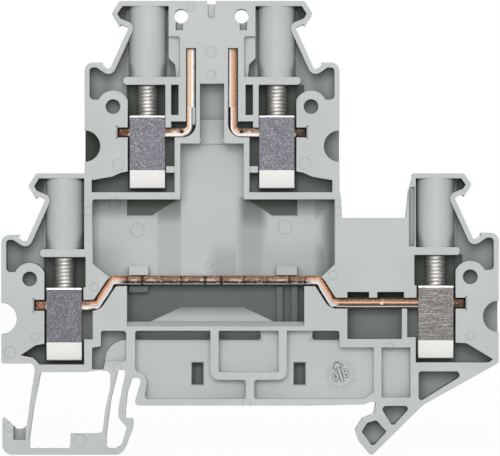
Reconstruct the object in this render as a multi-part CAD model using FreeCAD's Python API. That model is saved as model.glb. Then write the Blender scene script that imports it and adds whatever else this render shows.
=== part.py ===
# Double level terminal block, 5.2 mm wide, that snaps on a 35 mm rail. All lengths are millimetres.
# X runs along the block, Z up from the rail, and Y through its width: the open side faces -Y.
# The origin lies on the rail's top face, at the middle of the rail and of the width.
# Each of the four clamps is one station with its own frame: u runs outward from the screw's axis,
# and v runs up from the top of the clamp sleeve when the clamp is open.
import FreeCAD, Part
import math
import os

Vector = FreeCAD.Vector

# Overall sizes of the housing
width = 5.2
block_left = -35.0
block_right = 34.85
upper_top = 56.8
lower_top = 32.6
rail_width = 35.0
rail_play = 0.05

# Walls of the housing, and how deep its floors lie behind the open side
skin = 0.7
back_wall = 0.8
clamp_back_wall = 0.5
shelf_thickness = 1.1
chamber_floor = 1.0
light_depth = 2.0
side_pocket_depth = 1.2
strip_extra_depth = 0.5
over = 1.0
least_corner = 0.2

# Tower and marker groove, in the station's frame
tower_reach = 8.8
tower_height = 16.0
lower_right_rise = 0.3
upper_spacing = 18.2
tower_inside = 2.9
nose_reach = 5.0
nose_height = 14.2
groove_root_reach = 2.6
groove_root_height = 12.3
hook_shoulder = 3.5
groove_foot_height = 6.3
lower_hook_height = 7.37
lobe_floor = 2.15

# Clamp sleeve: a closed band of sheet with a double plate on top
sleeve_length = 4.9
sleeve_depth = 4.0
sleeve_height = 10.45
sleeve_sheet = 0.7
sleeve_plate = 1.6
sleeve_taper_height = 2.7
sleeve_bottom_width = 2.0
sleeve_travel = 4.0
sleeve_play = 0.3

# Clamp screw
screw_radius = 1.45
thread_play = 0.05
head_radius = 1.85
head_height = 1.95
head_play = 0.1
driver_slot_width = 0.6
driver_slot_depth = 0.9
shaft_wall = 0.65
shelf_hole_play = 0.2

# Current bars
bar_width = 2.3
upper_bar_thickness = 1.2
lower_bar_thickness = 1.35
bar_drop = 1.85
bar_play = 0.1
bar_bend = 1.2
stub_reach = 3.95
notch_reach = 4.2
upright_reach = 6.15
upright_top = 9.3
bridge_rise = 3.45
left_bend_reach = 4.6
right_bend_reach = 14.55
bridge_slope = 2.3
bridge_shaft_width = 2.4
bridge_shaft_pitch = 4.5

# Wire entry, pin holes and holes for fixing
wire_radius = 1.1
wire_play = 0.08
wire_mouth_radius = 3.4
pin_hole_radius = 1.03
pin_hole_inset = 4.0
pin_hole_height = 1.18
pin_hole_depth = 3.2
pin_boss_radius = 2.25
top_hole_radius = 1.0
top_hole_spacing = 8.5
top_hole_drop = 2.1

# Chamber around the sleeve
chamber_outside = sleeve_length / 2 + sleeve_play
chamber_inside = sleeve_length / 2 + 0.1
chamber_pocket = 3.85
chamber_wall = 0.8
wedge_wall = 1.0

# Base on the rail
seat_left = 1.6
level_gap_floor = 26.35
level_gap_lean = 1.35
foot_bottom = -6.9
base_wall = 0.95
band_top = 11.75
band_bottom = 10.5
slot_height = 1.3
middle_rib = 1.17
u_rib_left = -5.63
u_rib_right = 5.12
u_rib_top = 4.7
u_rib_bottom = 3.6
stem_left = -0.67
stem_right = 0.53
third_step = 4.8
third_top = 8.15
fourth_left = 1.1
fourth_right = 5.15
inner_slot_length = 5.9
right_slot_length = 3.8
core_window_width = 1.5
core_window_height = 2.95
core_window_drop = 0.6
core_window_left = -8.2
core_window_right = 6.15

# Pads and ribs that hold the raised run of the lower bar
pad_left = 2.2
pad_right = 5.9
pad_width = 2.7
right_pad_width = 2.9
pad_height = 1.3
lower_pad_height = 0.9
upper_pad_depth = 1.9
lower_pad_depth = 2.4
rib_width = 0.9
rib_pitch = 2.1
rib_depth = 2.9

groove_foot_reach = tower_reach - hook_shoulder
pin_hole_reach = tower_reach - pin_hole_inset
front = -width / 2
back = width / 2
deep = width - back_wall
bar_floor = width / 2 + bar_width / 2 + rail_play
rail_edge = rail_width / 2 + rail_play
shaft_radius = width / 2 - shaft_wall
shelf_bottom = sleeve_travel + 0.25
shelf_top = shelf_bottom + shelf_thickness
floor_height = -sleeve_height - 0.4
wire_height = -(bar_drop + lower_bar_thickness + wire_play + wire_radius)


class Station:
    # One clamp place: its screw axis, its height, and the side that the wire comes from.
    def __init__(self, name, x, z, side, top):
        self.name = name
        self.x = x
        self.z = z
        self.side = side
        self.top = top - z

    def at(self, points):
        return [(self.x + self.side * p[0], self.z + p[1]) + tuple(p[2:]) for p in points]


lower_left = Station("lower_left", block_left + tower_reach, lower_top - tower_height, -1, lower_top)
lower_right = Station(
    "lower_right", block_right - tower_reach, lower_left.z + lower_right_rise, 1, lower_top)
upper_left = Station(
    "upper_left", lower_left.x + tower_inside + tower_reach, upper_top - tower_height, -1, upper_top)
upper_right = Station(
    "upper_right", upper_left.x + upper_spacing, upper_top - tower_height, 1, upper_top)
stations = (upper_left, upper_right, lower_left, lower_right)
middle_x = (upper_left.x + upper_right.x) / 2


def point_on(axis, a, b, along):
    # The point with plane coordinates a and b on the plane square to the axis.
    if axis == "x":
        return Vector(along, a, b)
    if axis == "y":
        return Vector(a, along, b)
    return Vector(a, b, along)


def rounded_corner(before, here, after, radius):
    # Start, middle and end of the arc in a corner. The radius is limited by the two edges.
    back_way = (before - here).normalize()
    on_way = (after - here).normalize()
    half = back_way.getAngle(on_way) / 2
    if radius <= 0 or half > math.pi / 2 - 0.02:
        return here, None, here
    room = 0.48 * min(before.distanceToPoint(here), after.distanceToPoint(here))
    reach = min(radius / math.tan(half), room)
    radius = reach * math.tan(half)
    inward = (back_way + on_way).normalize()
    middle = here + inward * (radius / math.sin(half) - radius)
    return here + back_way * reach, middle, here + on_way * reach


def prism(points, axis, start, end):
    # Solid with a closed outline of (a, b) or (a, b, corner radius) points, from start to end.
    places = [point_on(axis, p[0], p[1], start) for p in points]
    corners = []
    for i, here in enumerate(places):
        radius = points[i][2] if len(points[i]) > 2 else 0.0
        corners.append(rounded_corner(places[i - 1], here, places[(i + 1) % len(places)], radius))
    edges = []
    for i, (first, middle, last) in enumerate(corners):
        if middle is not None:
            edges.append(Part.Arc(first, middle, last).toShape())
        following = corners[(i + 1) % len(corners)][0]
        if last.distanceToPoint(following) > 0.001:
            edges.append(Part.LineSegment(last, following).toShape())
    face = Part.Face(Part.Wire(edges))
    return face.extrude(point_on(axis, 0, 0, end - start))


def pocket(points, depth):
    # Recess in the open side, down to a depth.
    return prism(points, "y", front - over, front + depth)


def raised(points, depth):
    # Rib, pad or wall that stands on the back wall and reaches up to a depth below the open side.
    return prism(points, "y", front + depth, back)


def through(points):
    return prism(points, "y", front - over, back + over)


def rectangle(left, right, bottom, top, radius=0.0):
    return [(left, bottom, radius), (right, bottom, radius), (right, top, radius), (left, top, radius)]


def rod(radius, x, z, start, end):
    # Round rod through the width.
    return Part.makeCylinder(radius, end - start, Vector(x, start, z), Vector(0, 1, 0))


def upright_rod(radius, station, low, high):
    # Round rod on the screw's axis.
    return Part.makeCylinder(radius, high - low, Vector(station.x, 0, station.z + low), Vector(0, 0, 1))


def shifted(points, gap):
    # Open chain moved to the right of its own direction by a gap, with its corner radii kept parallel.
    ways = []
    for i in range(len(points) - 1):
        run = Vector(points[i + 1][0] - points[i][0], points[i + 1][1] - points[i][1], 0)
        ways.append(run.normalize())
    moved = []
    for i, point in enumerate(points):
        before = ways[max(i - 1, 0)]
        after = ways[min(i, len(ways) - 1)]
        scale = gap / (1 + before.dot(after))
        a = point[0] + scale * (before.y + after.y)
        b = point[1] - scale * (before.x + after.x)
        turn = before.x * after.y - before.y * after.x
        radius = point[2] if len(point) > 2 else 0.0
        if turn < 0:
            radius -= gap
        elif turn > 0:
            radius += gap
        moved.append((a, b, radius if radius >= least_corner else 0.0))
    return moved


def strip(route, thickness):
    # Outline of a bent strip of even thickness along a route.
    return shifted(route, thickness / 2) + shifted(route, -thickness / 2)[::-1]


def tower_chain(top, toothed):
    # The tower's outside from its top, round the marker groove and its two hooks, to its outer face.
    chain = [(0, top), (nose_reach - 1.1, top, 0.3), (nose_reach, nose_height, 0.45)]
    if toothed:
        lip = groove_root_height + 0.15
        chain += [(nose_reach - 1.05, lip), (nose_reach - 1.3, lip + 0.3)]
    else:
        chain += [(nose_reach - 0.7, nose_height - 1.2, 0.3)]
    chain += [(groove_root_reach, groove_root_height, 0.3)]
    chain += [(groove_foot_reach, groove_foot_height, 0.4)]
    if toothed:
        chain += [(groove_foot_reach + 1.0, lower_hook_height - 0.4)]
        chain += [(groove_foot_reach + 1.0, lower_hook_height)]
    else:
        chain += [(groove_foot_reach + 1.6, lower_hook_height)]
    chain += [(tower_reach, lower_hook_height, 1.3)]
    return chain


def right_hook():
    # Fixed hook that catches the rail's right edge, and the sloping edge that carries it.
    return [
        (block_right, 6.0, 0.5),
        (rail_edge + 6.7, 0.1, 4.0),
        (rail_edge - 0.6, -7.1, 0.45),
        (rail_edge - 2.3, -5.1, 0.8),
        (rail_edge - 2.9, -3.5, 1.0),
        (rail_edge - 1.75, -1.7, 0.9),
        (rail_edge - 0.2, -1.15),
        (rail_edge + 0.05, 0.5),
        (rail_edge - 0.7, 0.5),
        (rail_edge - 1.7, 0.15, 1.0),
        (rail_edge - 9.2, 0.0),
    ]


def spring_foot():
    # Seat's left end, the slot beside it and the springy foot with its catch and release tab.
    return [
        (seat_left - rail_edge, 0.0, 0.3),
        (1.3 - rail_edge, 0.6, 0.3),
        (2.05 - rail_edge, 3.1, 0.4),
        (2.1 - rail_edge, 3.85, 0.35),
        (0.9 - rail_edge, 3.85, 0.5),
        (0.25 - rail_edge, 1.75, 3.0),
        (-rail_edge, -0.6, 3.0),
        (-rail_edge, -1.7, 0.3),
        (1.1 - rail_edge, -1.7, 0.3),
        (1.0 - rail_edge, -3.3, 2.0),
        (-0.4 - rail_edge, foot_bottom, 1.6),
        (block_left + 0.15, foot_bottom, 1.4),
        (block_left + 0.15, -1.45, 0.25),
        (block_left + 1.35, -2.3, 0.5),
        (block_left + 2.05, -3.3),
        (block_left + 3.0, -3.3),
        (block_left + 3.6, -2.75),
        (block_left + 4.05, 0.65, 8.0),
        (block_left + 4.7, 4.9, 1.0),
        (block_left + 4.5, 5.9, 0.6),
        (block_left, 5.9, 0.4),
    ]


def housing_outline():
    # Outline of the moulding, clockwise from the top.
    gap_left = upper_right.x + tower_reach
    gap_right = lower_right.x - tower_inside
    outline = upper_right.at(tower_chain(upper_right.top, True))[1:]
    outline += [
        (gap_left, level_gap_floor + 4.0),
        (gap_left + 0.25, level_gap_floor + 2.55, 0.5),
        (gap_left + 0.35, level_gap_floor),
        (gap_right - level_gap_lean, level_gap_floor),
        (gap_right - level_gap_lean + 0.4, level_gap_floor + 3.8, 1.0),
        (gap_right - 0.6, level_gap_floor + 5.0, 0.6),
        (gap_right - 0.3, lower_top),
    ]
    outline += lower_right.at(tower_chain(lower_right.top, True))[1:]
    outline += right_hook()
    outline += spring_foot()
    outline += lower_left.at(tower_chain(lower_left.top, True))[:0:-1]
    outline += [(upper_left.x - tower_reach, lower_top)]
    outline += upper_left.at(tower_chain(upper_left.top, True))[:0:-1]
    return outline


def foot_windows():
    # The wide window in the foot and the narrow slot that lets its catch spring back.
    leg = block_left + 4.7
    wide = [
        (leg + 0.8, 4.7, 0.5),
        (leg + 7.2, 4.7),
        (leg + 9.2, 4.95, 1.0),
        (leg + 10.6, 4.75, 0.6),
        (leg + 10.6, 2.6, 3.0),
        (leg + 9.9, -0.55, 6.0),
        (leg + 9.5, -3.85, 0.5),
        (leg + 5.05, -3.85),
        (leg + 4.95, -5.95),
        (leg - 0.7, -5.95, 0.4),
        (leg - 0.8, -4.7, 1.5),
        (leg - 0.15, 0.0, 6.0),
    ]
    slot = [
        (0.05 - rail_edge, 5.0, 0.5),
        (-0.45 - rail_edge, 2.6, 3.0),
        (-1.0 - rail_edge, -0.4, 2.0),
        (-1.0 - rail_edge, -1.7, 0.8),
        (0.2 - rail_edge, -3.05, 0.5),
        (-0.7 - rail_edge, -5.95, 0.9),
        (-2.65 - rail_edge, -5.95, 0.8),
        (-2.75 - rail_edge, -4.4, 1.5),
        (-2.1 - rail_edge, 0.75, 6.0),
        (-1.05 - rail_edge, 5.0, 0.5),
    ]
    return [through(wide), through(slot)]


def marker_pocket(station, inner_side):
    # Deep recess behind the hooks: the tower's outside moved in by one wall, less the pin boss.
    chain = shifted(tower_chain(station.top, False) + [(tower_reach, lobe_floor - skin, 0.0)], skin)
    shelf_middle = (shelf_bottom + shelf_top) / 2
    outline = [(-inner_side[0][0], chain[0][1])] + chain[1:-1]
    outline += [(tower_reach - skin, lobe_floor, 0.6)]
    outline += [(chamber_outside, lobe_floor), (chamber_outside, shelf_middle)]
    outline += [(-inner_side[-1][0], shelf_middle)]
    outline += [(-reach, height) for reach, height in inner_side[::-1]]
    recess = pocket(station.at(outline), deep)
    centre = station.at([(pin_hole_reach, pin_hole_height)])[0]
    return recess.cut(rod(pin_boss_radius, centre[0], centre[1], front - over, back))


def wire_entry(station, open_back):
    # Round bowl and bore for the wire, turned about the wire's axis. It breaks out of the open side.
    bowl_end = tower_reach - math.sqrt(wire_mouth_radius ** 2 - wire_radius ** 2)
    slant = wire_mouth_radius * math.sqrt(0.5)
    profile = [(chamber_outside - 0.2, 0), (chamber_outside - 0.2, wire_radius), (bowl_end, wire_radius),
               (tower_reach - slant, slant), (tower_reach, wire_mouth_radius),
               (tower_reach + over, wire_mouth_radius), (tower_reach + over, 0)]
    profile = station.at([(reach, wire_height + radius) for reach, radius in profile])
    places = [Vector(x, 0, z) for x, z in profile]
    edges = [Part.makeLine(places[0], places[1]), Part.makeLine(places[1], places[2]),
             Part.Arc(places[2], places[3], places[4]).toShape(), Part.makeLine(places[4], places[5]),
             Part.makeLine(places[5], places[6]), Part.makeLine(places[6], places[0])]
    face = Part.Face(Part.Wire(edges))
    entry = face.revolve(places[0], Vector(1, 0, 0), 360)
    if open_back:
        return entry
    room = wire_mouth_radius + over
    x, z = station.at([(tower_reach, wire_height)])[0]
    behind = rectangle(x - 2 * room, x + 2 * room, z - room, z + room)
    return entry.cut(prism(behind, "y", back - back_wall, back + room))


def bar_notch(station, thickness):
    # Pocket in the chamber's outer wall that holds the end of the bar, with its two flared corners.
    top = bar_play - bar_drop
    bottom = -bar_drop - thickness - bar_play
    notch = pocket(station.at(rectangle(chamber_outside - 0.2, notch_reach, bottom, top)), bar_floor)
    flare = pocket(station.at([(notch_reach - 0.2, top), (notch_reach + 0.15, top + 0.35),
                               (notch_reach + 0.15, bottom - 0.35), (notch_reach - 0.2, bottom)]), 0.4)
    return notch.fuse(flare)


def clamp_recess(station, inner_side, chamber, wedge, thickness):
    # Everything that one clamp takes out of the moulding.
    clamp_depth = width - clamp_back_wall
    hole = station.at([(pin_hole_reach, pin_hole_height)])[0]
    return [
        marker_pocket(station, inner_side),
        pocket(station.at(chamber), clamp_depth),
        pocket(station.at(wedge), deep),
        bar_notch(station, thickness),
        wire_entry(station, station is lower_left),
        rod(pin_hole_radius, hole[0], hole[1], front - over, front + pin_hole_depth),
    ]


def driver_shaft(station, inner_end):
    # Tube that guides the screwdriver, and the shelf at its foot that the screw head stands on.
    tube = upright_rod(width / 2, station, shelf_bottom, station.top)
    shelf_end = chamber_outside + 0.6
    shelf = raised(station.at([(-inner_end, shelf_bottom), (-inner_end, shelf_top),
                               (shelf_end, shelf_top, 0.54), (shelf_end, shelf_bottom, 0.54)]), 0)
    return [tube, shelf]


def driver_bore(station):
    # Bore for the screwdriver and the screw head, and the hole in the shelf.
    return [
        upright_rod(shaft_radius, station, shelf_top, station.top + over),
        upright_rod(screw_radius + shelf_hole_play, station, shelf_bottom - over, shelf_top + over),
    ]


def upper_bar_route(station, end=0.0):
    # From the stub under the wire entry, along under the screw, and up beside the tube.
    middle = -bar_drop - upper_bar_thickness / 2
    return station.at([(stub_reach + end, middle), (-upright_reach, middle, bar_bend),
                       (-upright_reach, upright_top + end)])


def lower_bar_route(end=0.0):
    # From the left stub to the right one, raised in the middle over the base.
    drop = -bar_drop - lower_bar_thickness / 2
    left_z = lower_left.z + drop
    right_z = lower_right.z + drop
    left_bend = lower_left.x + left_bend_reach
    right_bend = lower_right.x - right_bend_reach
    return [
        (lower_left.x - stub_reach - end, left_z),
        (left_bend, left_z, bar_bend),
        (left_bend + bridge_slope, left_z + bridge_rise, bar_bend),
        (right_bend - bridge_slope + 0.35, left_z + bridge_rise, bar_bend),
        (right_bend, right_z, bar_bend),
        (lower_right.x + stub_reach + end, right_z),
    ]


def upper_details(station):
    # Recesses on the inner side of an upper clamp: side pocket, core slot and the gap by the bar.
    rib_inside = chamber_inside + 0.8
    slot_inside = rib_inside + 1.05
    low = -bar_drop - upper_bar_thickness / 2
    return [
        pocket(station.at(rectangle(-slot_inside - 0.2, -tower_inside, shelf_top - 0.1, 11.05, 0.4)),
               side_pocket_depth),
        pocket(station.at(rectangle(-slot_inside, -rib_inside, 0.0, shelf_bottom)), deep),
        pocket(station.at(rectangle(-upright_reach + 0.6, -rib_inside, low, -0.9)), deep),
    ]


def upper_ribs(station):
    # Guide nub beside the sleeve, and the small rib and pin under the bend of the bar.
    nub_top = floor_height + 3.65
    under_bar = -bar_drop - upper_bar_thickness - bar_play
    wall_end = upright_reach + upper_bar_thickness / 2 + bar_play + 0.55
    pin = station.at([(-wall_end + 0.25, under_bar - 0.3)])[0]
    return [
        raised(station.at(rectangle(-chamber_pocket - 0.2, -chamber_inside - 0.1, nub_top - 0.9, nub_top)),
               0.3),
        raised(station.at(rectangle(-wall_end, -chamber_pocket - 0.2, under_bar - 0.85, under_bar)), 0.9),
        rod(0.42, pin[0], pin[1], front + 0.2, back),
    ]


def central_recess():
    # Middle of the block between the two levels, with a deeper strip down its centre.
    wall_reach = upright_reach + upper_bar_thickness / 2 + bar_play + 0.55
    chamber_end = chamber_pocket + chamber_wall
    under_floor = upper_left.z + floor_height - chamber_floor
    rib_bottom = upper_left.z - bar_drop - upper_bar_thickness - bar_play - 0.85
    slot_left = upper_left.x + wall_reach
    slot_right = upper_right.x - wall_reach
    strip_left = upper_left.x + chamber_end
    strip_right = upper_right.x - chamber_end
    left = upper_left.x - tower_reach + 1.05
    right = upper_right.x + tower_reach - 0.65
    bar_top = lower_bar_route()[2][1] + lower_bar_thickness / 2
    outline = [
        (left, under_floor, 0.4), (strip_left, under_floor), (strip_left, rib_bottom),
        (slot_left, rib_bottom), (slot_left, upper_left.z + shelf_bottom + 0.15),
        (slot_right, upper_left.z + shelf_bottom + 0.15), (slot_right, rib_bottom),
        (strip_right, rib_bottom), (strip_right, under_floor), (right, under_floor),
        (right, bar_top + 1.7), (right - 1.8, bar_top - 0.1), (left + 2.35, bar_top - 0.1),
        (left + 0.1, bar_top + 1.7),
    ]
    slope = 4.2
    floor_y = front + bar_floor
    strip_y = floor_y + strip_extra_depth
    channel = [(strip_left - slope, floor_y), (strip_left, strip_y), (strip_right, strip_y),
               (strip_right + slope, floor_y), (strip_right, floor_y - over), (strip_left, floor_y - over)]
    strip_solid = prism(channel, "z", band_top, under_floor)
    ramp = prism([(floor_y, band_top), (strip_y + 0.01, band_top), (strip_y + 0.01, band_top + 2.0)],
                 "x", strip_left - slope, strip_right + slope)
    upper_channel = prism(rectangle(strip_left, strip_right, under_floor - over, rib_bottom), "y",
                          floor_y - over, strip_y)
    slot_floor = pocket(rectangle(slot_left, slot_right, upper_left.z - 0.6,
                                  upper_left.z + shelf_bottom + 0.15), deep + 0.1)
    shadow = [(floor_y - over, under_floor), (strip_y, under_floor), (floor_y, under_floor - 2.15),
              (floor_y - over, under_floor - 2.15)]
    reach = 7.5
    return [
        pocket(outline, bar_floor),
        strip_solid.cut(ramp),
        upper_channel,
        slot_floor,
        prism(shadow, "x", strip_left - reach, strip_left),
        prism(shadow, "x", strip_right, strip_right + reach),
    ]


def lower_recess():
    # Recess under the raised run of the lower bar, and the pockets beside its right end.
    run = lower_bar_route()
    bar_bottom = run[2][1] - lower_bar_thickness / 2
    right_bottom = run[4][1] - lower_bar_thickness / 2
    right_top = run[4][1] + lower_bar_thickness / 2
    left = run[2][0] + 1.95
    right = run[3][0] - 2.0
    pocket_left = run[4][0] + 2.1
    pocket_right = lower_right.x - chamber_pocket - chamber_wall - 0.15
    window_top = right_top + 0.9
    split = pocket_left + 3.05
    band = [(front - 0.01, band_bottom + 0.6), (front + 1.2, band_top), (front - 0.01, band_top)]
    return [
        pocket(rectangle(left, right, band_top, bar_bottom + 0.1), bar_floor),
        prism(band, "x", left, right),
        pocket(rectangle(pocket_left, pocket_right, band_top - 2.4, right_bottom), deep),
        pocket(rectangle(pocket_left, split, right_top - 0.1, window_top), deep),
        pocket(rectangle(split + 1.15, pocket_right + 0.3, right_top - 0.1, window_top), deep),
    ]


def bridge_shafts():
    # Two shafts from the floor between the towers down to the lower bar, for a plug-in bridge.
    run = lower_bar_route()
    top = level_gap_floor + over
    bottom = run[4][1] + lower_bar_thickness / 2 + 0.4
    first = run[4][0] + bridge_shaft_width
    shafts = []
    for left in (first, first + bridge_shaft_pitch):
        outline = rectangle(left, left + bridge_shaft_width, bottom, top)
        shafts.append(prism(outline, "y", -bar_width / 2, bar_width / 2))
    return shafts


def bar_supports():
    # Pads that hold the raised run of the lower bar from above and below.
    run = lower_bar_route()
    top = run[2][1] + lower_bar_thickness / 2 + bar_play
    bottom = run[2][1] - lower_bar_thickness / 2 - bar_play
    left = run[2][0] + pad_left
    right = run[3][0] - pad_right
    pads = [
        raised(rectangle(left, left + pad_width, top, top + pad_height), upper_pad_depth),
        raised(rectangle(right, right + right_pad_width, top, top + pad_height), upper_pad_depth),
        raised(rectangle(left, left + pad_width, bottom - lower_pad_height, bottom), lower_pad_depth),
    ]
    for start in (right, right + rib_pitch):
        pads.append(raised(rectangle(start, start + rib_width, band_top - 0.2, bottom), rib_depth))
    return pads


def base_pockets():
    # Light pockets over the rail seat, the dark slots along their top and the two core windows.
    left = seat_left - rail_edge
    slot_bottom = band_bottom - slot_height
    u_left = u_rib_left + middle_rib
    u_right = u_rib_right - middle_rib
    first = [
        (left - 0.25, band_bottom, 0.4), (u_rib_left, band_bottom), (u_rib_left, u_rib_bottom, 1.2),
        (stem_left, u_rib_bottom, 0.4), (stem_left, base_wall, 0.4), (left + 1.05, base_wall, 0.4),
        (left + 1.4, 3.4, 0.9), (left + 0.9, 4.4, 0.6), (left - 0.25, 5.0, 0.5),
    ]
    inner = rectangle(u_left, u_right, u_rib_top, band_bottom)
    end_x = rail_edge - 0.25
    third = [
        (stem_right, base_wall, 0.4), (stem_right, u_rib_bottom, 0.4), (u_rib_right, u_rib_bottom, 1.2),
        (u_rib_right, band_bottom), (end_x - third_step, band_bottom, 0.4),
        (end_x - third_step, third_top), (end_x, third_top), (end_x, 1.9), (end_x - 1.3, base_wall),
    ]
    fourth = rectangle(end_x + fourth_left, end_x + fourth_right, base_wall + 0.2, third_top)
    cuts = [pocket(outline, light_depth) for outline in (first, inner, third, fourth)]
    slots = ((left - 0.25, u_rib_left), (u_left, u_left + inner_slot_length),
             (end_x - third_step - right_slot_length, end_x - third_step))
    for start, end in slots:
        cuts.append(pocket(rectangle(start, end, slot_bottom, band_bottom, 0.4), deep))
    window_bottom = u_rib_bottom - core_window_drop
    for start in (core_window_left, core_window_right):
        cuts.append(pocket(rectangle(start, start + core_window_width, window_bottom,
                                     window_bottom + core_window_height), deep))
    return cuts


def leg_pockets():
    # Cored-out triangles of the right leg, the recess over the foot and the one in the release tab.
    slope_left = rail_edge + 6.05
    triangle = [(slope_left, 4.8, 0.4), (slope_left + 7.0, 4.8, 0.5), (slope_left, 0.45, 0.4)]
    small = [(rail_edge + 0.6, -0.05, 0.5), (rail_edge + 5.05, -0.05, 0.4), (rail_edge + 2.4, -2.95, 0.4)]
    kite = [
        (rail_edge + 0.15, -2.05, 0.5), (rail_edge + 1.55, -3.65), (rail_edge - 0.4, -5.8, 0.4),
        (rail_edge - 1.95, -3.65, 0.4), (rail_edge - 1.15, -2.4, 0.5),
    ]
    fan_right = -rail_edge + 0.1
    fan_left = block_left + 12.75
    fan = [
        (fan_left + 1.25, band_bottom, 0.4), (fan_right, band_bottom, 0.5), (fan_right, 6.2, 0.4),
        (fan_left + 1.85, 6.2), (fan_left + 1.6, 5.1), (fan_left, 5.1), (fan_left, 8.1),
        (fan_left + 1.25, 8.35),
    ]
    quarter = rod(3.0, fan_right, 6.2, front + 1.2, back).common(
        prism(rectangle(fan_right - 4, fan_right + 0.1, 6.1, 10.4), "y", front, back))
    tab = rectangle(block_left + 1.7, block_left + 3.4, -4.8, -2.9)
    cuts = [pocket(outline, deep) for outline in (triangle, small, kite)]
    cuts.append(pocket(fan, 3.4).cut(quarter))
    cuts.append(pocket(tab, light_depth))
    return cuts


def top_details():
    # Two holes right through the top plate, their cores, the centre notch and its groove.
    hole_z = upper_top - top_hole_drop
    cuts = []
    for side in (-1, 1):
        hole_x = middle_x - 0.1 + side * top_hole_spacing / 2
        core_x = hole_x - side * -0.25
        cuts.append(rod(top_hole_radius, hole_x, hole_z, front - over, back + over))
        cuts.append(pocket(rectangle(core_x - 0.5, core_x + 0.5, hole_z - 2.0, hole_z - 0.8), 1.5))
    notch_x = middle_x - 0.1
    cuts.append(through(rectangle(notch_x - 0.62, notch_x + 0.62, upper_top - 0.45, upper_top + over)))
    cuts.append(pocket(rectangle(notch_x - 0.48, notch_x + 0.48, upper_top - 2.4, upper_top - 0.3, 0.42),
                       0.6))
    return cuts


def lower_right_details():
    # Slim recess between the lower right tube and the plate beside it.
    inside = tower_inside + 0.2
    return [pocket(lower_right.at(rectangle(-inside - 0.7, -inside + 0.1, shelf_top + 0.1,
                                            lower_right.top - 1.9)), side_pocket_depth)]


def housing():
    # The one-piece moulding: outline, recesses, then what stands in them, then the bores.
    upper_inside = [(tower_inside + 0.1, 8.0), (tower_inside + 1.0, 7.1), (tower_inside + 1.15, shelf_top)]
    lower_inside = [(tower_inside - 0.05, 8.0), (tower_inside - 0.05, shelf_top)]
    upper_chamber = [
        (-chamber_inside, shelf_top - 0.5), (chamber_outside, shelf_top - 0.5),
        (chamber_outside, floor_height), (-chamber_pocket, floor_height),
        (-chamber_pocket, -bar_drop - 0.1), (-chamber_inside, -bar_drop - 0.1),
    ]
    lower_chamber = [
        (-chamber_inside - 0.5, shelf_top - 0.5), (chamber_outside, shelf_top - 0.5),
        (chamber_outside, floor_height), (-chamber_inside - 0.3, floor_height),
        (-chamber_inside - 0.3, floor_height + 3.55), (-chamber_pocket - 0.2, floor_height + 3.55),
        (-chamber_pocket - 0.2, -bar_drop - 0.3), (-chamber_inside - 0.2, -bar_drop - 0.3),
        (-chamber_inside - 0.2, 0.0), (-chamber_inside - 0.5, 0.0),
    ]
    edge = chamber_outside - 0.1
    outer = tower_reach - wedge_wall
    upper_wedge = [(edge, floor_height + 2.95), (edge + 1.05, floor_height + 2.75, 0.8),
                   (edge + 2.25, floor_height + 2.2, 1.0), (outer, floor_height + 1.7),
                   (outer, floor_height), (edge, floor_height)]
    left_wedge = [(edge, floor_height + 2.95), (edge + 1.35, floor_height + 2.7, 0.6),
                  (outer - 1.7, floor_height + 1.3), (edge + 1.65, floor_height + 0.95, 0.9),
                  (edge + 0.75, floor_height), (edge, floor_height)]
    right_wedge = [(edge, floor_height + 2.8), (edge + 1.65, floor_height + 2.7, 0.9),
                   (outer + 0.2, floor_height + 0.45), (outer - 0.4, floor_height), (edge, floor_height)]
    body = prism(housing_outline(), "y", front, back)
    cuts = foot_windows()
    for station in (upper_left, upper_right):
        cuts += clamp_recess(station, upper_inside, upper_chamber, upper_wedge, upper_bar_thickness)
        cuts += upper_details(station)
        cuts.append(pocket(strip(upper_bar_route(station, bar_play), upper_bar_thickness + 2 * bar_play),
                           bar_floor))
    for station, wedge in ((lower_left, left_wedge), (lower_right, right_wedge)):
        cuts += clamp_recess(station, lower_inside, lower_chamber, wedge, lower_bar_thickness)
    cuts.append(pocket(strip(lower_bar_route(bar_play), lower_bar_thickness + 2 * bar_play), bar_floor))
    cuts += central_recess() + lower_recess() + bridge_shafts()
    cuts += base_pockets() + leg_pockets() + top_details() + lower_right_details()
    body = body.cut(cuts)
    stands = bar_supports()
    for station in (upper_left, upper_right):
        stands += driver_shaft(station, tower_inside + 1.75) + upper_ribs(station)
    stands += driver_shaft(lower_left, tower_inside + 0.3) + driver_shaft(lower_right, tower_inside + 1.1)
    body = body.fuse(stands)
    bores = []
    for station in stations:
        bores += driver_bore(station)
    return body.cut(bores).removeSplitter()


def current_bar(route, thickness):
    return prism(strip(route, thickness), "y", -bar_width / 2, bar_width / 2)


def clamp_sleeve(station):
    # Band bent round the bar. Its sides lean in towards the bottom, and the plate on top is threaded.
    # The thread goes on as a shallow groove in each side wall, as far down as the screw's tip gets.
    half = sleeve_depth / 2
    knee = -sleeve_height + sleeve_taper_height
    foot = sleeve_bottom_width / 2
    outside = [
        (-half, 0, 0.3), (half, 0, 0.3), (half, knee),
        (foot, -sleeve_height, 0.5), (-foot, -sleeve_height, 0.5), (-half, knee),
    ]
    inner = half - sleeve_sheet
    inner_foot = foot - 0.5 * sleeve_sheet
    inside = [
        (-inner, -sleeve_plate), (inner, -sleeve_plate), (inner, knee),
        (inner_foot, sleeve_sheet - sleeve_height), (-inner_foot, sleeve_sheet - sleeve_height),
        (-inner, knee),
    ]
    start = station.x - sleeve_length / 2
    end = station.x + sleeve_length / 2
    lifted = [[(p[0], station.z + p[1]) + p[2:] for p in outline] for outline in (outside, inside)]
    band = prism(lifted[0], "x", start, end).cut(prism(lifted[1], "x", start - over, end + over))
    thread_end = -bar_drop - sleeve_travel - sleeve_play
    return band.cut(upright_rod(screw_radius + thread_play, station, thread_end, over))


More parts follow.
